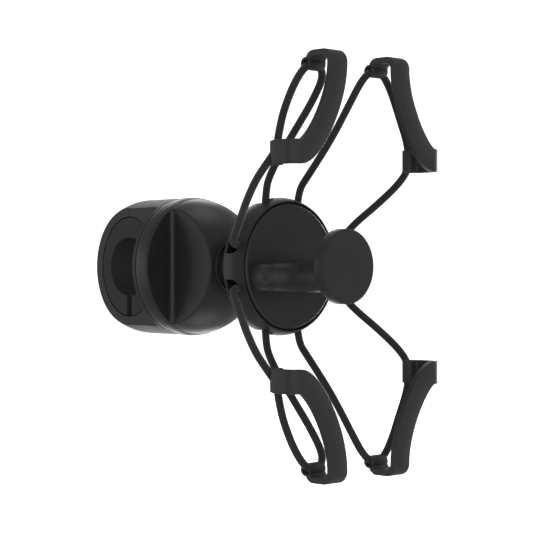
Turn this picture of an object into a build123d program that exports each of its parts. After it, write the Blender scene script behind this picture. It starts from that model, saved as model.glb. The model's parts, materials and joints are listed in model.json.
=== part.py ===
"""Phone handlebar mount: a two-part bar clamp, a dome lock knob on a ball joint,
and a round head whose elastic harness holds a phone by its four corners.

Frame: origin at the centre of the handlebar bore, +X along the bar, +Z up,
and the phone in front of the mount, towards -Y. All sizes are in millimetres.
Distances in front of the bar's centre are written as positive numbers.
"""

from build123d import *
from math import pi, radians, tan
import os

os.makedirs("parts", exist_ok=True)

# ---- driving dimensions ---------------------------------------------------
BAR_R = 12.0            # handlebar bore in the rubber insert
INSERT_HIGH = 20.3      # outside of the rubber insert, which is oval: half its height
INSERT_DEEP = 17.2      # and half its depth, fore and aft
INSERT_HALF = 13.9      # half the insert's width along the bar
SLIT = 3.0              # slit in the insert, at the bottom
RIB_DEEP = 1.1          # rib round the insert's outside
RIB_HALF = 3.0
RIB_HIGH = 15.0         # the rib ends this far above and below the middle
CLAMP_HALF = 14.0       # half the clamp's width, between its side flats
CROWN_R = 27.7          # round outside of the clamp
CROWN_DEEP = 24.7       # how far the jaw reaches behind the bar's centre
BELT_R = 28.0           # the knob's belt
FLANGE_R = 27.8         # round flange of the clamp, against the knob
FLANGE_REAR = 18.5
FLANGE_FRONT = 20.3     # seam between the flange and the knob
SEAM = 0.2              # gap between the clamp body and the jaw
FIT = 0.3               # free gap between pieces that move past each other
RUNNING = 0.06          # radial clearance of a turning fit

SCREW_Z = 23.9          # jaw screws above and below the bar
M3_R = 1.5
M3_HEAD_R = 2.75
M3_HEAD_H = 3.0
JAW_SEAT = 5.0          # where the jaw screws' heads bear, behind the seam
JAW_SCREW_TIP = 5.6     # how far they reach in front of the seam
NUT_FLATS = 5.5
NUT_REAR = 2.2
NUT_THICK = 2.4
SCREW_HOLE_DEEP = 9.0
HEX_R = 1.25            # hexagon sockets of the screws
HEX_DEEP = 1.6

BALL_CENTRE = 38.5
BALL_R = 10.9
SOCKET_R = BALL_R + FIT
SHELF = 27.5            # flat of the knob beside its wing
WING_ROOT = 14.6        # half the wing's thickness at the shelf
WING_TIP = 12.7         # and at its top
WING_TOP = 48.3
DOME_R = 27.6
DOME_CENTRE = 23.5
BOSS_R = 21.7           # threaded boss under the knob
BOSS_FRONT = 26.0
KNOB_FLOOR = 26.3
KNOB_BORE_R = 11.7
LIP_REAR = 45.8
LIP_R = 11.2
SEAT_FRONT = 44.7       # where the front seat lets go of the ball
SOCKET_LIP = 49.3
CUP_R = 10.0            # rear ball seat
CUP_REAR = 24.2
CUP_FRONT = 30.8
CUP_WALL = 1.3          # collar of the clamp body round the cup
COLLAR_FRONT = 30.0
SPRING_REAR = 23.0
SPRING_FRONT = 23.9
SPRING_OUTER_R = 8.8
SPRING_INNER_R = 5.2

NECK_R = 7.4
NECK_END = 60.0
COLLAR_R = 8.5
COLLAR_REAR = 63.6
SPIGOT_R = 6.0
COVER_R = 25.0          # rear cover
COVER_REAR = 68.2       # back face of the head
COVER_FRONT = 69.6
HUB_FRONT = 71.4
SPIGOT_END = 71.7
WASHER_FRONT = 72.7
WASHER_R = 9.0
STUD_BORE_R = 2.0
STUD_BORE_DEEP = 12.0
STUD_SCREW_LONG = 10.0
STUD_HEAD_R = 3.5
STUD_HEAD_H = 2.4
HUB_R = 11.0
RING_REAR_R = 25.9      # outside of the head's ring: rear, crest and front
RING_CREST = (26.5, 74.0)
RING_FRONT_R = 25.1
RING_INNER_R = 23.2
GAP_R = 24.6            # rim of the ring round the front plate
PLATE_R = 24.0
PLATE_EDGE = 1.2        # rounding of the plate's rim
PLATE_REAR = 77.2
RING_FRONT = 79.3
PLATE_FRONT = 79.9
TAB_HALF = 4.9          # smooth tab between each pair of cord notches
NOTCH_WIDE = 6.1
NOTCH_FRONT = 77.0
BOSS_AT = 14.8          # screw bosses, off centre in both directions
BOSS_WIDE_R = 2.9
COVER_HEAD_R = 2.2      # small screws of the rear cover
COVER_SCREW_R = 1.2
COVER_SCREW_LONG = 6.5
CROSS_LONG = 2.6        # cross recess in their heads
CROSS_WIDE = 0.5
ANCHOR_OUTER_R = 17.8
ANCHOR_INNER_R = 16.2
SIDE_CORD = (75.5, 7.5)     # forward distance, off-centre distance
TOP_CORD = (74.0, 8.5)

BAR_MIDDLE = -4.05      # height of the raised bar's middle line
BAR_HEIGHT = 11.1
BAR_END = 22.2          # its ends, left and right of the middle
BAR_ROUND = 5.0         # rounding of its long edges
BAR_SCREW_X = 7.0       # its two screws, left and right of the middle
BAR_SCREW_R = 1.5
BAR_SCREW_HEAD_R = 2.4
BAR_SCREW_HEAD_H = 1.6
PAD_PLATE = 2.0         # disc under the rubber pad
PAD_R = 14.0
PAD_REAR = 107.2
PHONE_BACK = 110.2
PAD_FRONT = PHONE_BACK - FIT

PHONE_HALF_WIDE = 37.85     # the phone that the harness is stretched on
PHONE_HALF_HIGH = 75.45
GLASS = 118.5
STRAP_THICK = 2.5
STRAP_WIDE = 8.7
CORD_R = 1.45
ROLL_R = 2.4
CRIMP_R = 1.65
CRIMP_LONG = 2.7
CRIMP_FACE = 12.5       # outer face of each crimp
STRAP_CURVE = [(-35.5, 40.3), (-29.0, 41.5), (-17.0, 59.5), (-17.0, 73.0)]
FRONT_BEND = 3.4        # bends of the strap's middle line round the phone's edges
REAR_BEND = 2.4
FRONT_LAP = 4.0         # how far each wrapped end laps onto the phone's front
ROLL_INSET = 2.15       # roll's centre inside the phone's outline
ROLL_AT = PHONE_BACK - ROLL_R
SIDE_BAND_Z = 40.3
TOP_BAND_X = -17.0

# FORWARD.offset(d) is the upright plane d in front of the bar's centre.
FORWARD = Plane(origin=(0, 0, 0), x_dir=(1, 0, 0), z_dir=(0, -1, 0))
# PROFILE holds half sections of round pieces, as (radius, forward distance).
PROFILE = Plane(origin=(0, 0, 0), x_dir=(1, 0, 0), z_dir=(0, 0, -1))
ALONG_BAR = Plane.YZ


def save(builder, name):
    """Label a finished piece and write it to its own file."""
    builder.part.label = name
    export_step(builder.part, f"parts/{name}.step")


# ---- clamp ----------------------------------------------------------------
with BuildPart() as clamp_body:
    with BuildSketch(FORWARD):
        Circle(CROWN_R)
    with BuildSketch(FORWARD.offset(FLANGE_FRONT)):
        Circle(FLANGE_R)
    loft()
    # side flats, which flare into the round flange
    with BuildSketch(Plane.XY.offset(-BELT_R)) as flats:
        with Locations((CLAMP_HALF + BELT_R / 2, BELT_R / 2 - FLANGE_REAR)):
            Rectangle(BELT_R, BELT_R)
        fillet(flats.vertices().group_by(Axis.Y)[0].sort_by(Axis.X)[0], radius=1.2)
        mirror(about=Plane.YZ)
    extrude(amount=2 * BELT_R, mode=Mode.SUBTRACT)
    with BuildSketch(FORWARD.offset(FLANGE_FRONT)):
        Circle(BOSS_R)
    extrude(amount=BOSS_FRONT - FLANGE_FRONT)
    with BuildSketch(FORWARD.offset(BOSS_FRONT)):
        Circle(CUP_R + CUP_WALL)
    extrude(amount=COLLAR_FRONT - BOSS_FRONT)
    # seat of the rear ball cup and its spring
    with BuildSketch(FORWARD.offset(SPRING_REAR)):
        Circle(CUP_R + RUNNING)
    extrude(amount=CUP_FRONT - SPRING_REAR, mode=Mode.SUBTRACT)
    # oval bore for the rubber insert, with the groove for its rib
    with BuildSketch(ALONG_BAR.offset(-CLAMP_HALF)):
        Ellipse(INSERT_DEEP + 0.2, INSERT_HIGH + 0.25)
    extrude(amount=2 * CLAMP_HALF, mode=Mode.SUBTRACT)
    with BuildSketch(ALONG_BAR.offset(-RIB_HALF)):
        Ellipse(INSERT_DEEP + RIB_DEEP + 0.2, INSERT_HIGH + RIB_DEEP + 0.2)
        Rectangle(4 * BELT_R, 2 * RIB_HIGH + 0.4, mode=Mode.INTERSECT)
    extrude(amount=2 * RIB_HALF, mode=Mode.SUBTRACT)
    # captive nuts above and below the bar
    with BuildSketch(FORWARD):
        with Locations((0, SCREW_Z), (0, -SCREW_Z)):
            RegularPolygon(NUT_FLATS / 2 + 0.05, 6, major_radius=False, rotation=30)
    extrude(amount=NUT_REAR + NUT_THICK + 0.05, mode=Mode.SUBTRACT)
    with BuildSketch(FORWARD):
        with Locations((0, SCREW_Z), (0, -SCREW_Z)):
            Circle(M3_R + 0.4)
    extrude(amount=SCREW_HOLE_DEEP, mode=Mode.SUBTRACT)
save(clamp_body, "clamp_body")

with BuildPart() as clamp_jaw:
    Sphere(CROWN_R)
    scale(by=(1, CROWN_DEEP / CROWN_R, 1))
    Box(2 * CLAMP_HALF, 4 * BELT_R, 4 * BELT_R, mode=Mode.INTERSECT)
    fillet(clamp_jaw.faces().filter_by(Axis.X).edges(), radius=0.7)
    split(bisect_by=Plane.XZ.offset(-SEAM), keep=Keep.BOTTOM)
    with BuildSketch(ALONG_BAR.offset(-CLAMP_HALF)):
        Ellipse(INSERT_DEEP + 0.1, INSERT_HIGH + 0.25)
    extrude(amount=2 * CLAMP_HALF, mode=Mode.SUBTRACT)
    with BuildSketch(ALONG_BAR.offset(-RIB_HALF - FIT)):
        Ellipse(INSERT_DEEP + RIB_DEEP + FIT, INSERT_HIGH + RIB_DEEP + FIT)
        Rectangle(4 * BELT_R, 2 * RIB_HIGH + 1.0, mode=Mode.INTERSECT)
    extrude(amount=2 * (RIB_HALF + FIT), mode=Mode.SUBTRACT)
    with BuildSketch(Plane.XZ):
        with Locations((0, SCREW_Z), (0, -SCREW_Z)):
            Circle(M3_R + 0.25)
    extrude(amount=-CROWN_R, mode=Mode.SUBTRACT)
    with BuildSketch(Plane.XZ.offset(-JAW_SEAT)):
        with Locations((0, SCREW_Z), (0, -SCREW_Z)):
            Circle(M3_HEAD_R + 0.3)
    extrude(amount=-CROWN_R, mode=Mode.SUBTRACT)
save(clamp_jaw, "clamp_jaw")

with BuildPart() as bar_insert:
    with BuildSketch(ALONG_BAR.offset(-INSERT_HALF)):
        Ellipse(INSERT_DEEP, INSERT_HIGH)
    extrude(amount=2 * INSERT_HALF)
    fillet(bar_insert.edges().filter_by(GeomType.ELLIPSE), radius=0.4)
    # rib that keeps it from sliding out along the bar
    with BuildSketch(ALONG_BAR.offset(-RIB_HALF)):
        Ellipse(INSERT_DEEP + RIB_DEEP, INSERT_HIGH + RIB_DEEP)
        Rectangle(4 * BELT_R, 2 * RIB_HIGH, mode=Mode.INTERSECT)
    extrude(amount=2 * RIB_HALF)
    with BuildSketch(ALONG_BAR.offset(-INSERT_HALF)):
        Circle(BAR_R)
        with Locations((0, -INSERT_HIGH)):
            Rectangle(SLIT, 2 * INSERT_HIGH)
    extrude(amount=2 * INSERT_HALF, mode=Mode.SUBTRACT)
save(bar_insert, "bar_insert")

with BuildPart() as jaw_nuts:
    with BuildSketch(FORWARD.offset(NUT_REAR)):
        with Locations((0, SCREW_Z), (0, -SCREW_Z)):
            RegularPolygon(NUT_FLATS / 2, 6, major_radius=False, rotation=30)
            Circle(M3_R + 0.05, mode=Mode.SUBTRACT)
    extrude(amount=NUT_THICK)
save(jaw_nuts, "jaw_nuts")

for side, height in (("upper", SCREW_Z), ("lower", -SCREW_Z)):
    with BuildPart() as jaw_screw:
        with BuildSketch(Plane.XZ.offset(-JAW_SEAT)):
            with Locations((0, height)):
                Circle(M3_HEAD_R)
        extrude(amount=-M3_HEAD_H)
        head_rim = jaw_screw.edges().sort_by(Axis.Y)[-1]
        fillet(head_rim, radius=0.4)
        with BuildSketch(Plane.XZ.offset(-JAW_SEAT)):
            with Locations((0, height)):
                Circle(M3_R)
        extrude(amount=JAW_SEAT + JAW_SCREW_TIP)
        with BuildSketch(Plane.XZ.offset(-JAW_SEAT - M3_HEAD_H)):
            with Locations((0, height)):
                RegularPolygon(HEX_R, 6, major_radius=False)
        extrude(amount=HEX_DEEP, mode=Mode.SUBTRACT)
    save(jaw_screw, f"jaw_screw_{side}")

with BuildPart() as seat_spring:
    with BuildSketch(FORWARD.offset(SPRING_REAR)):
        Circle(SPRING_OUTER_R)
        Circle(SPRING_INNER_R, mode=Mode.SUBTRACT)
    extrude(amount=SPRING_FRONT - SPRING_REAR)
save(seat_spring, "seat_spring")

# ---- lock knob ------------------------------------------------------------
with BuildPart() as lock_knob:
    with BuildSketch(PROFILE):
        with BuildLine():
            dome_foot = (DOME_R**2 - (SHELF - DOME_CENTRE) ** 2) ** 0.5
            dome_end = DOME_CENTRE + (DOME_R**2 - LIP_R**2) ** 0.5
            middle_r = 21.7
            middle = DOME_CENTRE + (DOME_R**2 - middle_r**2) ** 0.5
            belt_rear = (BELT_R - 0.45, FLANGE_FRONT)
            belt_crest = (BELT_R, FLANGE_FRONT + 2.0)
            belt_front = (BELT_R - 0.2, SHELF - 1.9)
            groove = (BELT_R - 0.45, SHELF - 1.7)
            shelf_rim = (BELT_R - 0.35, SHELF - 1.3)
            Line((0, FLANGE_FRONT), belt_rear)
            ThreePointArc(belt_rear, (BELT_R - 0.13, FLANGE_FRONT + 0.8), belt_crest)
            Polyline(belt_crest, belt_front, groove, shelf_rim)
            ThreePointArc(shelf_rim, (BELT_R - 0.46, SHELF - 0.4), (dome_foot, SHELF))
            ThreePointArc((dome_foot, SHELF), (middle_r, middle), (LIP_R, dome_end))
            Polyline((LIP_R, dome_end), (0, dome_end), (0, FLANGE_FRONT))
        make_face()
    revolve(axis=Axis.Y)
    # two sloping flats leave a tall wing across the middle
    with BuildSketch(Plane.XY.offset(-BELT_R)) as wing_sides:
        with BuildLine():
            Polyline(
                (WING_ROOT, -SHELF),
                (WING_TIP, -WING_TOP),
                (WING_TIP, -2 * BELT_R),
                (2 * BELT_R, -2 * BELT_R),
                (2 * BELT_R, -SHELF),
                close=True,
            )
        make_face()
        fillet(wing_sides.vertices().group_by(Axis.Y)[-1].sort_by(Axis.X)[0], radius=2.2)
        mirror(about=Plane.YZ)
    extrude(amount=2 * BELT_R, mode=Mode.SUBTRACT)
    flat_rims = lock_knob.edges().filter_by(GeomType.CIRCLE).filter_by(
        lambda rim: BALL_R < rim.radius < DOME_CENTRE
    )
    fillet(flat_rims + lock_knob.edges().filter_by(GeomType.BSPLINE), radius=0.8)
    # threaded skirt over the clamp's boss, then the bore for the front ball seat
    with BuildSketch(FORWARD.offset(FLANGE_FRONT)):
        Circle(BOSS_R + FIT)
    extrude(amount=KNOB_FLOOR - FLANGE_FRONT, mode=Mode.SUBTRACT)
    with BuildSketch(FORWARD.offset(FLANGE_FRONT)):
        Circle(KNOB_BORE_R)
    extrude(amount=LIP_REAR - FLANGE_FRONT, mode=Mode.SUBTRACT)
    with BuildSketch(FORWARD.offset(FLANGE_FRONT)):
        Circle(LIP_R)
    extrude(amount=DOME_R + 10, mode=Mode.SUBTRACT)
save(lock_knob, "lock_knob")

with BuildPart() as front_ball_seat:
    with BuildSketch(PROFILE):
        with BuildLine():
            seat_rear = 40.5
            rear_r = (SOCKET_R**2 - (seat_rear - BALL_CENTRE) ** 2) ** 0.5
            front_r = (SOCKET_R**2 - (SEAT_FRONT - BALL_CENTRE) ** 2) ** 0.5
            mid_at = 42.9
            mid_r = (SOCKET_R**2 - (mid_at - BALL_CENTRE) ** 2) ** 0.5
            rim_r = LIP_R - 0.15
            ThreePointArc((rear_r, seat_rear), (mid_r, mid_at), (front_r, SEAT_FRONT))
            Polyline(
                (front_r, SEAT_FRONT),
                (rim_r - 1.2, SOCKET_LIP - 0.9),
                (rim_r - 0.7, SOCKET_LIP),
            )
            ThreePointArc(
                (rim_r - 0.7, SOCKET_LIP),
                (rim_r - 0.2, SOCKET_LIP - 0.2),
                (rim_r, SOCKET_LIP - 0.7),
            )
            Polyline(
                (rim_r, SOCKET_LIP - 0.7),
                (rim_r, LIP_REAR),
                (KNOB_BORE_R - 0.1, LIP_REAR),
                (KNOB_BORE_R - 0.1, seat_rear),
                (rear_r, seat_rear),
            )
        make_face()
    revolve(axis=Axis.Y)
save(front_ball_seat, "front_ball_seat")

# ---- ball joint -----------------------------------------------------------
with BuildPart() as rear_ball_seat:
    with BuildSketch(FORWARD.offset(CUP_REAR)):
        Circle(CUP_R)
    extrude(amount=CUP_FRONT - CUP_REAR)
    with Locations((0, -BALL_CENTRE, 0)):
        Sphere(SOCKET_R, mode=Mode.SUBTRACT)
save(rear_ball_seat, "rear_ball_seat")

with BuildPart() as ball_stud:
    with BuildSketch(PROFILE):
        with BuildLine():
            neck_start = BALL_CENTRE + (BALL_R**2 - NECK_R**2) ** 0.5
            ThreePointArc(
                (0, BALL_CENTRE - BALL_R),
                (BALL_R, BALL_CENTRE),
                (NECK_R, neck_start),
            )
            Polyline(
                (NECK_R, neck_start),
                (NECK_R, NECK_END),
                (COLLAR_R, COLLAR_REAR),
                (COLLAR_R, COVER_REAR - FIT),
                (SPIGOT_R, COVER_REAR - FIT),
                (SPIGOT_R, SPIGOT_END),
                (0, SPIGOT_END),
                (0, BALL_CENTRE - BALL_R),
            )
        make_face()
    revolve(axis=Axis.Y)
    with BuildSketch(FORWARD.offset(SPIGOT_END)):
        Circle(STUD_BORE_R)
    extrude(amount=-STUD_BORE_DEEP, mode=Mode.SUBTRACT)
save(ball_stud, "ball_stud")

with BuildPart() as stud_washer:
    with BuildSketch(FORWARD.offset(SPIGOT_END)):
        Circle(WASHER_R)
        Circle(STUD_BORE_R + 0.1, mode=Mode.SUBTRACT)
    extrude(amount=WASHER_FRONT - SPIGOT_END)
save(stud_washer, "stud_washer")

with BuildPart() as stud_screw:
    with BuildSketch(FORWARD.offset(WASHER_FRONT)):
        Circle(STUD_HEAD_R)
    extrude(amount=STUD_HEAD_H)
    with BuildSketch(FORWARD.offset(WASHER_FRONT)):
        Circle(STUD_BORE_R - 0.05)
    extrude(amount=-STUD_SCREW_LONG)
    with BuildSketch(FORWARD.offset(WASHER_FRONT + STUD_HEAD_H)):
        RegularPolygon(HEX_R, 6, major_radius=False)
    extrude(amount=-HEX_DEEP, mode=Mode.SUBTRACT)
save(stud_screw, "stud_screw")

# ---- head -----------------------------------------------------------------
with BuildPart() as rear_cover:
    with BuildSketch(FORWARD.offset(COVER_REAR)):
        Circle(COVER_R)
    extrude(amount=COVER_FRONT - COVER_REAR)
    fillet(rear_cover.edges().filter_by(GeomType.CIRCLE), radius=0.5)
    with BuildSketch(FORWARD.offset(COVER_REAR + 0.8)):
        Circle(HUB_R)
    extrude(amount=HUB_FRONT - COVER_REAR - 0.8)
    with BuildSketch(FORWARD.offset(COVER_REAR)):
        Circle(SPIGOT_R + RUNNING)
        with GridLocations(2 * BOSS_AT, 2 * BOSS_AT, 2, 2):
            Circle(COVER_SCREW_R + 0.15)
    extrude(amount=HUB_FRONT - COVER_REAR, mode=Mode.SUBTRACT)
    with BuildSketch(FORWARD.offset(COVER_REAR)):
        with GridLocations(2 * BOSS_AT, 2 * BOSS_AT, 2, 2):
            Circle(COVER_HEAD_R + FIT)
    extrude(amount=1.0, mode=Mode.SUBTRACT)
save(rear_cover, "rear_cover")

with BuildPart() as cover_screws:
    with BuildSketch(FORWARD.offset(COVER_REAR + 0.1)):
        with GridLocations(2 * BOSS_AT, 2 * BOSS_AT, 2, 2):
            Circle(COVER_HEAD_R)
            Rectangle(CROSS_LONG, CROSS_WIDE, mode=Mode.SUBTRACT)
            Rectangle(CROSS_WIDE, CROSS_LONG, mode=Mode.SUBTRACT)
    extrude(amount=0.5)
    with BuildSketch(FORWARD.offset(COVER_REAR + 0.6)):
        with GridLocations(2 * BOSS_AT, 2 * BOSS_AT, 2, 2):
            Circle(COVER_HEAD_R)
    extrude(amount=0.4)
    with BuildSketch(FORWARD.offset(COVER_REAR + 1.0)):
        with GridLocations(2 * BOSS_AT, 2 * BOSS_AT, 2, 2):
            Circle(COVER_SCREW_R)
    extrude(amount=COVER_SCREW_LONG)
save(cover_screws, "cover_screws")

with BuildPart() as head_ring:
    with BuildSketch(PROFILE):
        with BuildLine():
            ring_rear = (RING_REAR_R, COVER_FRONT)
            ring_front = (RING_FRONT_R, RING_FRONT - 0.1)
            ThreePointArc(ring_rear, RING_CREST, ring_front)
            Polyline(
                ring_front,
                (GAP_R, RING_FRONT),
                (GAP_R, PLATE_REAR),
                (RING_INNER_R, PLATE_REAR),
                (RING_INNER_R, COVER_FRONT),
                ring_rear,
            )
        make_face()
    revolve(axis=Axis.Y)
    # screw bosses
    with BuildSketch(FORWARD.offset(COVER_FRONT)):
        with GridLocations(2 * BOSS_AT, 2 * BOSS_AT, 2, 2):
            Circle(BOSS_WIDE_R)
    extrude(amount=PLATE_REAR - COVER_FRONT)
    with BuildSketch(FORWARD.offset(COVER_FRONT)):
        with GridLocations(2 * BOSS_AT, 2 * BOSS_AT, 2, 2):
            Circle(COVER_SCREW_R + 0.05)
    extrude(amount=COVER_SCREW_LONG, mode=Mode.SUBTRACT)
    # cord notches: a pair beside each of the four tabs, round at the front end
    notch_at = TAB_HALF + NOTCH_WIDE / 2
    notch_deep = NOTCH_FRONT - COVER_FRONT
    for turn in range(4):
        around = Plane(origin=(0, 0, 0), x_dir=(0, -1, 0), z_dir=(1, 0, 0)).rotated(
            (0, 90 * turn, 0), ordering=Extrinsic.XYZ
        )
        with BuildSketch(around):
            for across in (notch_at, -notch_at):
                with Locations((NOTCH_FRONT - NOTCH_WIDE / 2, across)):
                    Circle(NOTCH_WIDE / 2)
                with Locations((COVER_FRONT, across)):
                    Rectangle(2 * (notch_deep - NOTCH_WIDE / 2), NOTCH_WIDE)
        extrude(amount=BELT_R, mode=Mode.SUBTRACT)
save(head_ring, "head_ring")

with BuildPart() as cord_anchor:
    with BuildSketch(FORWARD.offset(COVER_FRONT)):
        Circle(ANCHOR_OUTER_R)
        Circle(ANCHOR_INNER_R, mode=Mode.SUBTRACT)
    extrude(amount=PLATE_REAR - COVER_FRONT)
    with BuildSketch(Plane.YZ):
        with Locations((-SIDE_CORD[0], SIDE_CORD[1]), (-SIDE_CORD[0], -SIDE_CORD[1])):
            Circle(CORD_R + 0.1)
    extrude(amount=COVER_R, both=True, mode=Mode.SUBTRACT)
    with BuildSketch(Plane.XY):
        with Locations((TOP_CORD[1], -TOP_CORD[0]), (-TOP_CORD[1], -TOP_CORD[0])):
            Circle(CORD_R + 0.1)
    extrude(amount=COVER_R, both=True, mode=Mode.SUBTRACT)
save(cord_anchor, "cord_anchor")

with BuildPart() as cord_crimps:
    for sign in (1, -1):
        with BuildSketch(Plane.YZ.offset(sign * CRIMP_FACE)):
            with Locations((-SIDE_CORD[0], SIDE_CORD[1]), (-SIDE_CORD[0], -SIDE_CORD[1])):
                Circle(CRIMP_R)
        extrude(amount=-sign * CRIMP_LONG)
        with BuildSketch(Plane.XY.offset(sign * CRIMP_FACE)):
            with Locations((TOP_CORD[1], -TOP_CORD[0]), (-TOP_CORD[1], -TOP_CORD[0])):
                Circle(CRIMP_R)
        extrude(amount=-sign * CRIMP_LONG)
save(cord_crimps, "cord_crimps")

with BuildPart() as front_plate:
    with BuildSketch(FORWARD.offset(PLATE_REAR)):
        Circle(PLATE_R)
        with Locations((BAR_SCREW_X, BAR_MIDDLE), (-BAR_SCREW_X, BAR_MIDDLE)):
            Circle(BAR_SCREW_R + 0.1, mode=Mode.SUBTRACT)
    extrude(amount=PLATE_FRONT - PLATE_REAR)
    rim = front_plate.edges().filter_by(GeomType.CIRCLE).sort_by(SortBy.RADIUS)[-2:]
    fillet(rim.sort_by(Axis.Y)[0], radius=PLATE_EDGE)
save(front_plate, "front_plate")

# The raised bar starts in a round end at the plate's rim, and swells up twice
# towards its tall middle, which carries the pad.
with BuildPart() as support_bridge:
    with BuildSketch(PROFILE.offset(-BAR_MIDDLE - BAR_HEIGHT / 2)):
        with BuildLine():
            foot = Line((0, PLATE_FRONT), (BAR_END, PLATE_FRONT))
            round_end = JernArc(foot @ 1, (0, 1), BAR_ROUND + 0.3, 70)
            first_dip = JernArc(round_end @ 1, round_end % 1, 4.0, -35)
            swell = JernArc(first_dip @ 1, first_dip % 1, BAR_ROUND + 1.0, 20)
            second_dip = JernArc(swell @ 1, swell % 1, 9.0, -55)
            pad_height = PAD_REAR - PAD_PLATE
            Polyline(second_dip @ 1, ((second_dip @ 1).X, pad_height), (0, pad_height), foot @ 0)
        make_face()
        mirror(about=Plane.YZ)
    extrude(amount=BAR_HEIGHT)
    fillet(support_bridge.edges().filter_by(GeomType.CIRCLE), radius=BAR_ROUND)
    # thin lip round its foot
    with BuildSketch(FORWARD.offset(PLATE_FRONT)):
        Circle(PLATE_R - PLATE_EDGE)
        with Locations((0, BAR_MIDDLE)):
            RectangleRounded(2 * BAR_END + 1.2, BAR_HEIGHT + 1.2, BAR_ROUND, mode=Mode.INTERSECT)
    extrude(amount=0.5)
    with BuildSketch(FORWARD.offset(PAD_REAR - PAD_PLATE)):
        Circle(PAD_R)
    extrude(amount=PAD_PLATE)
    with BuildSketch(FORWARD.offset(PLATE_FRONT)):
        with Locations((BAR_SCREW_X, BAR_MIDDLE), (-BAR_SCREW_X, BAR_MIDDLE)):
            Circle(BAR_SCREW_R + 0.05)
    extrude(amount=6.0, mode=Mode.SUBTRACT)
save(support_bridge, "support_bridge")

with BuildPart() as bridge_screws:
    with BuildSketch(FORWARD.offset(PLATE_REAR)):
        with Locations((BAR_SCREW_X, BAR_MIDDLE), (-BAR_SCREW_X, BAR_MIDDLE)):
            Circle(BAR_SCREW_HEAD_R)
    extrude(amount=-BAR_SCREW_HEAD_H)
    with BuildSketch(FORWARD.offset(PLATE_REAR)):
        with Locations((BAR_SCREW_X, BAR_MIDDLE), (-BAR_SCREW_X, BAR_MIDDLE)):
            Circle(BAR_SCREW_R)
    extrude(amount=8.0)
save(bridge_screws, "bridge_screws")

with BuildPart() as rest_pad:
    with BuildSketch(FORWARD.offset(PAD_REAR)):
        Circle(PAD_R)
    extrude(amount=PAD_FRONT - PAD_REAR)
    fillet(rest_pad.edges().sort_by(Axis.Y)[0], radius=1.0)
save(rest_pad, "rest_pad")

# ---- harness: four moulded corner straps on four elastic loops -------------
# Route of the upper left loop: out of the head beside its left tab, through the
# strap's side roll, up the phone's back, through the top roll and back down.
CORD_ROUTE = [
    (-CRIMP_FACE, -SIDE_CORD[0], SIDE_CORD[1]),
    (-27.1, -75.5, 7.5),
    (-29.2, -79.3, 11.6),
    (-31.4, -84.6, 17.4),
    (-34.9, -91.4, 23.5),
    (-38.0, -99.6, 31.0),
    (-38.0, -105.3, 36.6),
    (-35.7, -107.9, 41.6),
    (-34.6, -107.9, 48.0),
    (-31.3, -107.2, 56.3),
    (-26.0, -107.5, 66.6),
    (-20.4, -107.9, 73.1),
    (-14.2, -107.9, 73.5),
    (-10.3, -106.6, 69.6),
    (-9.9, -101.0, 61.4),
    (-10.8, -90.6, 48.5),
    (-10.5, -79.4, 36.0),
    (-TOP_CORD[1], -TOP_CORD[0], 28.0),
    (-TOP_CORD[1], -TOP_CORD[0], CRIMP_FACE),
]


def corner_radii(points):
    """Largest arc that each corner's two runs have room for."""
    radii = []
    for before, at, after in zip(points, points[1:], points[2:]):
        run_in = Vector(*at) - Vector(*before)
        run_out = Vector(*after) - Vector(*at)
        half_turn = Vector.get_angle(run_in, run_out) / 2
        shorter = min(run_in.length, run_out.length)
        radii.append(0.45 * shorter / tan(radians(half_turn)))
    return radii


cord_radii = corner_radii(CORD_ROUTE)
print("elastic loop radii:", [round(radius, 1) for radius in cord_radii])

with BuildPart() as elastic_upper_left:
    with BuildLine() as loop_path:
        FilletPolyline(*CORD_ROUTE, radius=cord_radii)
    with BuildSketch(Plane(origin=CORD_ROUTE[0], z_dir=(-1, 0, 0))):
        Circle(CORD_R)
    sweep()

# The hole that the loop needs through a strap's rolled ends.
with BuildPart() as loop_tunnel:
    with BuildLine():
        FilletPolyline(*CORD_ROUTE, radius=cord_radii)
    with BuildSketch(Plane(origin=CORD_ROUTE[0], z_dir=(-1, 0, 0))):
        Circle(CORD_R + 0.1)
    sweep()

loop_length = loop_path.wires()[0].length
print("elastic loop length:", round(loop_length, 1), "mm, volume ratio:",
      round(elastic_upper_left.part.volume / (pi * CORD_R**2 * loop_length), 4))

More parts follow.
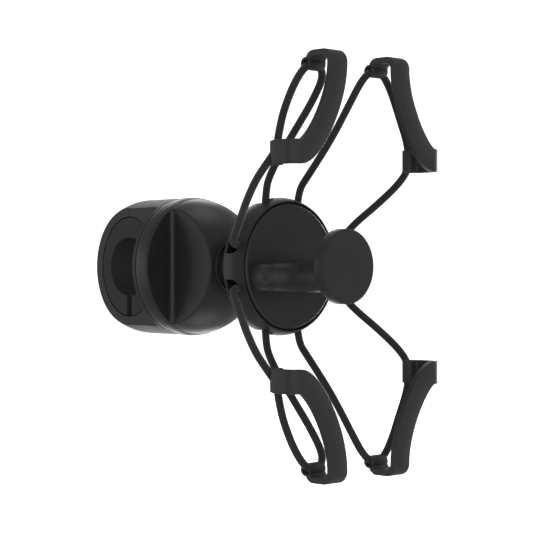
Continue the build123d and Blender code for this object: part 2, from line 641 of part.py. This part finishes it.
with BuildPart() as strap_upper_left:
    middle = STRAP_THICK / 2
    with BuildSketch(FORWARD.offset(GLASS)):
        with BuildLine():
            Bezier(*STRAP_CURVE)
        trace(line_width=STRAP_WIDE)
    extrude(amount=STRAP_THICK)
    # round the phone's side
    with BuildSketch(Plane.XY.offset(SIDE_BAND_Z - STRAP_WIDE / 2)):
        with BuildLine():
            FilletPolyline(
                (-PHONE_HALF_WIDE + ROLL_INSET, -PHONE_BACK + middle),
                (-PHONE_HALF_WIDE - middle, -PHONE_BACK + middle),
                (-PHONE_HALF_WIDE - middle, -GLASS - middle),
                (-PHONE_HALF_WIDE + FRONT_LAP, -GLASS - middle),
                radius=[REAR_BEND, FRONT_BEND],
            )
        trace(line_width=STRAP_THICK)
    extrude(amount=STRAP_WIDE)
    # over the phone's top edge
    with BuildSketch(Plane.YZ.offset(TOP_BAND_X - STRAP_WIDE / 2)):
        with BuildLine():
            FilletPolyline(
                (-PHONE_BACK + middle, PHONE_HALF_HIGH - ROLL_INSET),
                (-PHONE_BACK + middle, PHONE_HALF_HIGH + middle),
                (-GLASS - middle, PHONE_HALF_HIGH + middle),
                (-GLASS - middle, PHONE_HALF_HIGH - FRONT_LAP),
                radius=[REAR_BEND, FRONT_BEND],
            )
        trace(line_width=STRAP_THICK)
    extrude(amount=STRAP_WIDE)
    # rolled ends that the elastic loop runs through
    with BuildSketch(Plane.XY.offset(SIDE_BAND_Z - ROLL_R)):
        with Locations((-PHONE_HALF_WIDE + ROLL_INSET, -ROLL_AT)):
            Circle(ROLL_R)
    extrude(amount=ROLL_R + STRAP_WIDE / 2)
    with BuildSketch(Plane.YZ.offset(TOP_BAND_X - STRAP_WIDE / 2)):
        with Locations((-ROLL_AT, PHONE_HALF_HIGH - ROLL_INSET)):
            Circle(ROLL_R)
    extrude(amount=STRAP_WIDE)
    add(loop_tunnel.part, mode=Mode.SUBTRACT)

HARNESS = (("strap", strap_upper_left), ("elastic", elastic_upper_left))
for kind, upper_left in HARNESS:
    save(upper_left, f"{kind}_upper_left")
    with BuildPart() as upper_right:
        mirror(upper_left.part, about=Plane.YZ)
    save(upper_right, f"{kind}_upper_right")
    with BuildPart() as lower_left:
        mirror(upper_left.part, about=Plane.XY)
    save(lower_left, f"{kind}_lower_left")
    with BuildPart() as lower_right:
        mirror(upper_right.part, about=Plane.XY)
    save(lower_right, f"{kind}_lower_right")
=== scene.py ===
"""Looks of the phone handlebar mount: materials, moulded straps, braided loops, light and camera."""
import json
import math

import bpy
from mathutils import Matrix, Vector


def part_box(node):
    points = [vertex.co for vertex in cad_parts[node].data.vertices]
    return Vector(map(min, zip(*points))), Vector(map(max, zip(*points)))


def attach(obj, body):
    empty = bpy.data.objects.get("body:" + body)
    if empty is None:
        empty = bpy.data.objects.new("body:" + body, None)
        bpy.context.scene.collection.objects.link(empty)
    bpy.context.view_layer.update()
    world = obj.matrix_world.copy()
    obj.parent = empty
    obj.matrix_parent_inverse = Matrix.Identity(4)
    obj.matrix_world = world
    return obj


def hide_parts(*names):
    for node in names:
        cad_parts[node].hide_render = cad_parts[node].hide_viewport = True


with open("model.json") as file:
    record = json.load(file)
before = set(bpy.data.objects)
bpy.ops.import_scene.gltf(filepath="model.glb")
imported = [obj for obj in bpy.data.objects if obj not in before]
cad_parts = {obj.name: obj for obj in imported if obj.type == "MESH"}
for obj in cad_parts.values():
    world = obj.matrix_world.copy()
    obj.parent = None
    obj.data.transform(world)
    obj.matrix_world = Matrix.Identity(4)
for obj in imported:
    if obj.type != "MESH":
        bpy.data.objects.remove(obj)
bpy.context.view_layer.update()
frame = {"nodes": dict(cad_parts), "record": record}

MM = 0.001

# The phone that the harness is stretched on, and the sizes of the harness, in millimetres.
PHONE_HALF_WIDE = 37.85
PHONE_HALF_HIGH = 75.45
PHONE_BACK = 110.2
GLASS = 118.5
STRAP_THICK = 2.5
STRAP_WIDE = 8.7
FRONT_BEND = 3.4
REAR_BEND = 2.4
ROLL_INSET = 2.15
ROLL_WALL = 1.0
ROLL_R = 2.4
SIDE_BAND_Z = 40.3
TOP_BAND_X = -17.0
STRAP_CURVE = [(-35.5, 40.3), (-29.0, 41.5), (-17.0, 59.5), (-17.0, 73.0)]
CURL_START = -205           # the curl round the loop, in degrees
CURL_END = 90
CURL_LEAVE = (0.6, -0.05, 1.15)     # inward step, forward step, thickness ratio
BAND_JOIN = (1.5, 0.2, 0.85)        # the same, where the full band starts
BAND_ROUND = 0.55           # rounding of the band's long edges
BAND_ROUND_MOST = 0.9       # the same, as a part of half the thickness
CORD_R = 1.45
CORD_ROUTE = [
    (-12.5, -75.5, 7.5),
    (-27.1, -75.5, 7.5),
    (-29.2, -79.3, 11.6),
    (-31.4, -84.6, 17.4),
    (-34.9, -91.4, 23.5),
    (-38.0, -99.6, 31.0),
    (-38.0, -105.3, 36.6),
    (-35.7, -107.9, 41.6),
    (-34.6, -107.9, 48.0),
    (-31.3, -107.2, 56.3),
    (-26.0, -107.5, 66.6),
    (-20.4, -107.9, 73.1),
    (-14.2, -107.9, 73.5),
    (-10.3, -106.6, 69.6),
    (-9.9, -101.0, 61.4),
    (-10.8, -90.6, 48.5),
    (-10.5, -79.4, 36.0),
    (-8.5, -74.0, 28.0),
    (-8.5, -74.0, 12.5),
]
BRAID_AROUND = 24           # points round the loop
BRAID_STEP = 0.42           # distance between rings of points
BRAID_CARRIERS = 8
BRAID_LAY = 5.0             # length of one full turn of a strand
BRAID_RELIEF = 0.014
BRAID_LIFT = 1.4            # height of a crossing, in reliefs

# The stage, the light and the camera, in metres.
FLOOR_GAP = 0.06
FLOOR_R = 7.0
WALL_R = 8.0
LIGHT_AIM = (0, -0.05, 0)
WORLD_LIGHT = 0.4
EYE = (-0.4473, -0.5228, 0)
SIGHT = (0.6998, 0.7143, 0)
LENS = 111.4                # lens and sensor width in millimetres
SENSOR = 36


# ---- materials ------------------------------------------------------------
def shader(name, colour, roughness, specular, metallic=0.0):
    """A principled material, with its node tree ready for more nodes."""
    material = bpy.data.materials.new(name)
    material.use_nodes = True
    principled = material.node_tree.nodes["Principled BSDF"]
    principled.inputs["Base Color"].default_value = (*colour, 1)
    principled.inputs["Roughness"].default_value = roughness
    principled.inputs["Specular IOR Level"].default_value = specular
    principled.inputs["Metallic"].default_value = metallic
    return material, material.node_tree, principled


def noise(tree, scale, detail, stretch=(1, 1, 1)):
    """Noise in the object's own coordinates; scale is in features per metre."""
    place = tree.nodes.new("ShaderNodeTexCoord")
    mapping = tree.nodes.new("ShaderNodeMapping")
    mapping.inputs["Scale"].default_value = stretch
    tree.links.new(place.outputs["Object"], mapping.inputs["Vector"])
    texture = tree.nodes.new("ShaderNodeTexNoise")
    texture.inputs["Scale"].default_value = scale
    texture.inputs["Detail"].default_value = detail
    tree.links.new(mapping.outputs["Vector"], texture.inputs["Vector"])
    return texture.outputs["Fac"]


def ramp(tree, value, low, high):
    """Spread a 0 to 1 value between two numbers or two colours.

    The mix node's sockets: 0 is the factor, 2 and 3 are numbers, 6 and 7 are colours.
    """
    mix = tree.nodes.new("ShaderNodeMix")
    if isinstance(low, tuple):
        mix.data_type = "RGBA"
        mix.inputs[6].default_value = (*low, 1)
        mix.inputs[7].default_value = (*high, 1)
        tree.links.new(value, mix.inputs[0])
        return mix.outputs[2]
    mix.inputs[2].default_value = low
    mix.inputs[3].default_value = high
    tree.links.new(value, mix.inputs[0])
    return mix.outputs[0]


def bump(tree, principled, height, distance, strength):
    """Fine relief, distance in metres."""
    node = tree.nodes.new("ShaderNodeBump")
    node.inputs["Distance"].default_value = distance
    node.inputs["Strength"].default_value = strength
    tree.links.new(height, node.inputs["Height"])
    tree.links.new(node.outputs["Normal"], principled.inputs["Normal"])


def moulded(name, tone, roughness, grain=3200, relief=0.00003, specular=0.4):
    """Moulded plastic or rubber: spark-eroded grain, and faint changes of tone and gloss."""
    low = tuple(c * 0.88 for c in tone)
    high = tuple(c * 1.12 for c in tone)
    material, tree, principled = shader(name, tone, roughness, specular)
    clouds = noise(tree, 70, 3)
    tree.links.new(ramp(tree, clouds, low, high), principled.inputs["Base Color"])
    gloss = ramp(tree, noise(tree, 160, 4), roughness - 0.05, roughness + 0.05)
    tree.links.new(gloss, principled.inputs["Roughness"])
    bump(tree, principled, noise(tree, grain, 3), relief, 0.5)
    return material


def turned_metal(name, tone, roughness):
    """Plated or blackened metal with fine machining marks along the bolt axis."""
    material, tree, principled = shader(name, tone, roughness, specular=0.5, metallic=1.0)
    marks = noise(tree, 900, 4, stretch=(1, 6, 1))
    gloss = ramp(tree, marks, roughness - 0.08, roughness + 0.12)
    tree.links.new(gloss, principled.inputs["Roughness"])
    bump(tree, principled, marks, 0.00002, 0.4)
    return material


MATERIALS = {
    "soft_touch": moulded("soft_touch_black", (0.018, 0.018, 0.0185), 0.54),
    "knob_plastic": moulded("knob_black", (0.016, 0.016, 0.0165), 0.40),
    "head_plastic": moulded("head_black", (0.0145, 0.0145, 0.015), 0.48),
    "plate_plastic": moulded("plate_black", (0.015, 0.015, 0.0155), 0.46),
    "seat_plastic": moulded("seat_black", (0.020, 0.020, 0.020), 0.58, grain=1500, specular=0.3),
    # Painted light: the stud's tone is raised well above the other black plastics, so the neck in
    # the shade of the socket looks lit.
    "stud_plastic": moulded("stud_black", (0.052, 0.052, 0.053), 0.42, grain=1500),
    # The insert's tone is partly the rubber's own grey and partly painted light: it is raised, with
    # low specular, to lift the shade inside the bar bore.
    "clamp_rubber": moulded("insert_rubber", (0.030, 0.030, 0.030), 0.62,
                            grain=2400, relief=0.00005, specular=0.22),
    "pad_rubber": moulded("pad_rubber", (0.020, 0.020, 0.020), 0.62, grain=2400, relief=0.00005),
    # The straps' tone is partly the silicone's own lighter grey and partly painted light: it is
    # raised so the straps look brighter than the clamp parts in shade.
    "silicone": moulded("strap_silicone", (0.026, 0.026, 0.0265), 0.56, grain=2000, relief=0.00002),
    "steel": turned_metal("plated_steel", (0.55, 0.55, 0.56), 0.32),
    "black_steel": turned_metal("black_oxide", (0.05, 0.05, 0.055), 0.42),
}


def braided_material():
    """Black polyester braid over an elastic core."""
    material, tree, principled = shader("braided_elastic", (0.018, 0.018, 0.019), 0.68,
                                        specular=0.3)
    fibres = noise(tree, 2600, 4)
    tree.links.new(ramp(tree, fibres, (0.010, 0.010, 0.011), (0.028, 0.028, 0.029)),
                   principled.inputs["Base Color"])
    principled.inputs["Sheen Weight"].default_value = 0.15
    principled.inputs["Sheen Roughness"].default_value = 0.5
    bump(tree, principled, fibres, 0.00004, 0.5)
    return material


MATERIALS["elastic_cord"] = braided_material()

for part in frame["record"]["subparts"]:
    node = frame["nodes"][part["node"]]
    node.data.materials.clear()
    node.data.materials.append(MATERIALS[part["material_slot"]])


# ---- meshes ---------------------------------------------------------------
def mesh_piece(name, points, faces, material_slot):
    """A new object from points in metres, with smooth shading and its finish."""
    mesh = bpy.data.meshes.new(name)
    mesh.from_pydata(points, [], faces)
    mesh.validate()
    piece = bpy.data.objects.new(name, mesh)
    bpy.context.scene.collection.objects.link(piece)
    mesh.materials.append(MATERIALS[material_slot])
    mesh.shade_smooth()
    return piece


def tube_faces(rings, around):
    """Quads between rings of points, with one flat face at each end."""
    faces = []
    for ring in range(rings - 1):
        for k in range(around):
            a = ring * around + k
            b = ring * around + (k + 1) % around
            faces.append((a, b, b + around, a + around))
    faces.append(tuple(reversed(range(around))))
    faces.append(tuple((rings - 1) * around + k for k in range(around)))
    return faces


def bezier(points, t):
    """Point and direction on a cubic curve in the strap's front plane."""
    p0, p1, p2, p3 = (Vector(p) for p in points)
    u = 1 - t
    at = u**3 * p0 + 3 * u * u * t * p1 + 3 * u * t * t * p2 + t**3 * p3
    along = 3 * u * u * (p1 - p0) + 6 * u * t * (p2 - p1) + 3 * t * t * (p3 - p2)
    return at, along.normalized()


def arc(centre, radius, start, end, steps):
    """Points of an arc in a plane, angles in degrees."""
    for i in range(steps + 1):
        angle = math.radians(start + (end - start) * i / steps)
        yield centre[0] + radius * math.cos(angle), centre[1] + radius * math.sin(angle)


def strap_rings():
    """Rings of the upper left strap: (centre, width direction, thickness)."""
    half = STRAP_THICK / 2
    rear = PHONE_BACK - half
    front = GLASS + half
    roll_r = ROLL_R - ROLL_WALL / 2
    roll_at = PHONE_BACK - ROLL_R
    wrap = []
    # curl round the loop, from its free end to the phone's back
    for inward, forward in arc((ROLL_INSET, roll_at), roll_r, CURL_START, CURL_END, 18):
        wrap.append((inward, forward, ROLL_WALL))
    # the thin curl grows into the full band in two steps
    inward, forward, ratio = CURL_LEAVE
    wrap.append((ROLL_INSET - inward, roll_at + roll_r + forward, ROLL_WALL * ratio))
    inward, forward, ratio = BAND_JOIN
    wrap.append((ROLL_INSET - inward, rear + forward, STRAP_THICK * ratio))
    for inward, forward in arc((-half + REAR_BEND, rear + REAR_BEND), REAR_BEND, -90, -180, 10):
        wrap.append((inward, forward, STRAP_THICK))
    wrap.append((-half, (rear + front) / 2, STRAP_THICK))
    for inward, forward in arc((-half + FRONT_BEND, front - FRONT_BEND), FRONT_BEND, 180, 90, 12):
        wrap.append((inward, forward, STRAP_THICK))
    rings = []
    for inward, forward, thick in wrap:
        centre = Vector((-PHONE_HALF_WIDE + inward, -forward, SIDE_BAND_Z))
        rings.append([centre, Vector((0, 0, 1)), thick])
    steps = 26
    for i in range(steps + 1):
        at, along = bezier(STRAP_CURVE, i / steps)
        across = Vector((-along.y, 0, along.x))
        rings.append([Vector((at.x, -front, at.y)), across, STRAP_THICK])
    for inward, forward, thick in reversed(wrap):
        centre = Vector((TOP_BAND_X, -forward, PHONE_HALF_HIGH - inward))
        rings.append([centre, Vector((-1, 0, 0)), thick])
    return rings


def band_section(thick):
    """Rounded rectangle of the band, as (across, outwards) in millimetres."""
    corner_r = min(BAND_ROUND, thick / 2 * BAND_ROUND_MOST)
    across = STRAP_WIDE / 2 - corner_r
    outward = thick / 2 - corner_r
    corners = ((across, outward), (-across, outward), (-across, -outward), (across, -outward))
    section = []
    for turn, corner in enumerate(corners):
        section.extend(arc(corner, corner_r, 90 * turn, 90 * turn + 90, 4))
    return section


def strap(name, mirror_x, mirror_z):
    """One moulded corner strap, mirrored from the upper left one."""
    rings = strap_rings()
    points = []
    for i, (centre, across, thick) in enumerate(rings):
        before = rings[max(i - 1, 0)][0]
        after = rings[min(i + 1, len(rings) - 1)][0]
        along = (after - before).normalized()
        outward = along.cross(across).normalized()
        for u, v in band_section(thick):
            p = centre + across * u + outward * v
            points.append((p.x * mirror_x * MM, p.y * MM, p.z * mirror_z * MM))
    around = len(band_section(STRAP_THICK))
    faces = tube_faces(len(rings), around)
    if mirror_x * mirror_z < 0:
        faces = [tuple(reversed(face)) for face in faces]
    piece = mesh_piece(name, points, faces, "silicone")
    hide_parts(name)
    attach(piece, "head")
    piece.name = name + "_moulded"


def smooth_route(mirror_x, mirror_z):
    """Points of the loop's smooth middle line, read from its NURBS spline."""
    curve = bpy.data.curves.new("route", "CURVE")
    curve.dimensions = "3D"
    curve.resolution_u = 24
    spline = curve.splines.new("NURBS")
    spline.points.add(len(CORD_ROUTE) - 1)
    for point, (x, y, z) in zip(spline.points, CORD_ROUTE):
        point.co = (x * mirror_x * MM, y * MM, z * mirror_z * MM, 1)
    spline.order_u = 3
    spline.use_endpoint_u = True
    guide = bpy.data.objects.new("route", curve)
    bpy.context.scene.collection.objects.link(guide)
    bpy.context.view_layer.update()
    evaluated = guide.evaluated_get(bpy.context.evaluated_depsgraph_get())
    mesh = bpy.data.meshes.new_from_object(evaluated)
    line = [v.co.copy() for v in mesh.vertices]
    bpy.data.objects.remove(guide)
    bpy.data.curves.remove(curve)
    bpy.data.meshes.remove(mesh)
    return line


def evenly(line, step):
    """The same line with points a step apart."""
    spaced = [line[0].copy()]
    left = step
    for a, b in zip(line, line[1:]):
        run = (b - a).length
        done = 0.0
        while run - done >= left:
            done += left
            spaced.append(a.lerp(b, done / run))
            left = step
        left -= run - done
    return spaced


def braided_loop(name, mirror_x, mirror_z):
    """An elastic loop with a plain braid in its surface."""
    step = BRAID_STEP * MM
    relief = BRAID_RELIEF * MM
    line = evenly(smooth_route(mirror_x, mirror_z), step)
    points = []
    side = Vector((0, 0, 1))
    for i, at in enumerate(line):
        along = (line[min(i + 1, len(line) - 1)] - line[max(i - 1, 0)]).normalized()
        side = (side - along * side.dot(along)).normalized()
        other = along.cross(side)
        twist = 2 * math.pi * i * step / (BRAID_LAY * MM)
        for k in range(BRAID_AROUND):
            angle = 2 * math.pi * k / BRAID_AROUND
            right = math.sin(BRAID_CARRIERS / 2 * (angle + twist))
            left = math.sin(BRAID_CARRIERS / 2 * (angle - twist))
            r = CORD_R * MM - relief + relief * abs(right * left) ** 0.5 * BRAID_LIFT
            points.append(at + (side * math.cos(angle) + other * math.sin(angle)) * r)
    piece = mesh_piece(name, points, tube_faces(len(line), BRAID_AROUND), "elastic_cord")
    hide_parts(name)
    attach(piece, "head")
    piece.name = name + "_braided"


for height, mirror_z in (("upper", 1), ("lower", -1)):
    for hand, mirror_x in (("left", 1), ("right", -1)):
        strap(f"strap_{height}_{hand}", mirror_x, mirror_z)
        braided_loop(f"elastic_{height}_{hand}", mirror_x, mirror_z)


# ---- stage, light and camera ----------------------------------------------
def glow(name, colour, strength):
    """A plain light-giving white for the floor and the backdrop."""
    material = bpy.data.materials.new(name)
    material.use_nodes = True
    principled = material.node_tree.nodes["Principled BSDF"]
    principled.inputs["Base Color"].default_value = (*colour, 1)
    principled.inputs["Roughness"].default_value = 0.9
    principled.inputs["Emission Color"].default_value = (*colour, 1)
    principled.inputs["Emission Strength"].default_value = strength
    return material


def stage():
    """A pale floor under the mount and a white studio wall all round it."""
    floor_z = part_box("strap_lower_left")[0].z - FLOOR_GAP
    bpy.ops.mesh.primitive_circle_add(vertices=96, radius=FLOOR_R, fill_type="NGON",
                                      location=(0, 0, floor_z))
    floor = bpy.context.object
    floor.name = "floor"
    floor.data.materials.append(glow("pale_floor", (0.9, 0.9, 0.9), 0.95))
    bpy.ops.mesh.primitive_uv_sphere_add(segments=64, ring_count=32, radius=WALL_R)
    wall = bpy.context.object
    wall.name = "studio_wall"
    wall.data.materials.append(glow("white_wall", (1.0, 1.0, 1.0), 1.0))
    for item in (floor, wall):
        item.visible_diffuse = False
        item.visible_glossy = False
        item.visible_shadow = False


def soft_light(name, place, size, power):
    """A rectangular soft box that faces the middle of the mount."""
    light = bpy.data.lights.new(name, "AREA")
    light.shape = "RECTANGLE"
    light.size, light.size_y = size
    light.energy = power
    lamp = bpy.data.objects.new(name, light)
    bpy.context.scene.collection.objects.link(lamp)
    lamp.location = place
    lamp.rotation_mode = "QUATERNION"
    lamp.rotation_quaternion = (Vector(LIGHT_AIM) - Vector(place)).to_track_quat("-Z", "Y")


def camera():
    """Level view from the front left with a long lens; the clamp is at the picture's left."""
    data = bpy.data.cameras.new("camera")
    data.sensor_width = SENSOR
    data.lens = LENS
    data.clip_end = 40
    eye = bpy.data.objects.new("camera", data)
    bpy.context.scene.collection.objects.link(eye)
    eye.location = EYE
    eye.rotation_mode = "QUATERNION"
    eye.rotation_quaternion = Vector(SIGHT).to_track_quat("-Z", "Y")
    bpy.context.scene.camera = eye


stage()
for above, height in (("high", 1), ("low", -1)):
    soft_light(f"over_{above}", (0.38, 0.0, 1.35 * height), (0.7, 0.7), 2.4)
    soft_light(f"behind_{above}", (1.0, 1.25, 0.85 * height), (0.8, 0.5), 5)
    soft_light(f"front_{above}", (-0.1, -1.4, 0.8 * height), (0.9, 0.5), 2.5)
soft_light("left_rear", (-0.85, 1.05, 0.0), (0.9, 0.9), 2.3)
soft_light("left_front", (-1.05, -1.05, 0.0), (0.5, 0.9), 3.4)
soft_light("right", (1.3, 0.1, 0.0), (0.7, 0.7), 18)
world = bpy.data.worlds.new("studio")
world.use_nodes = True
world.node_tree.nodes["Background"].inputs["Color"].default_value = (1, 1, 1, 1)
world.node_tree.nodes["Background"].inputs["Strength"].default_value = WORLD_LIGHT
bpy.context.scene.world = world
bpy.context.scene.view_settings.view_transform = "Standard"
camera()
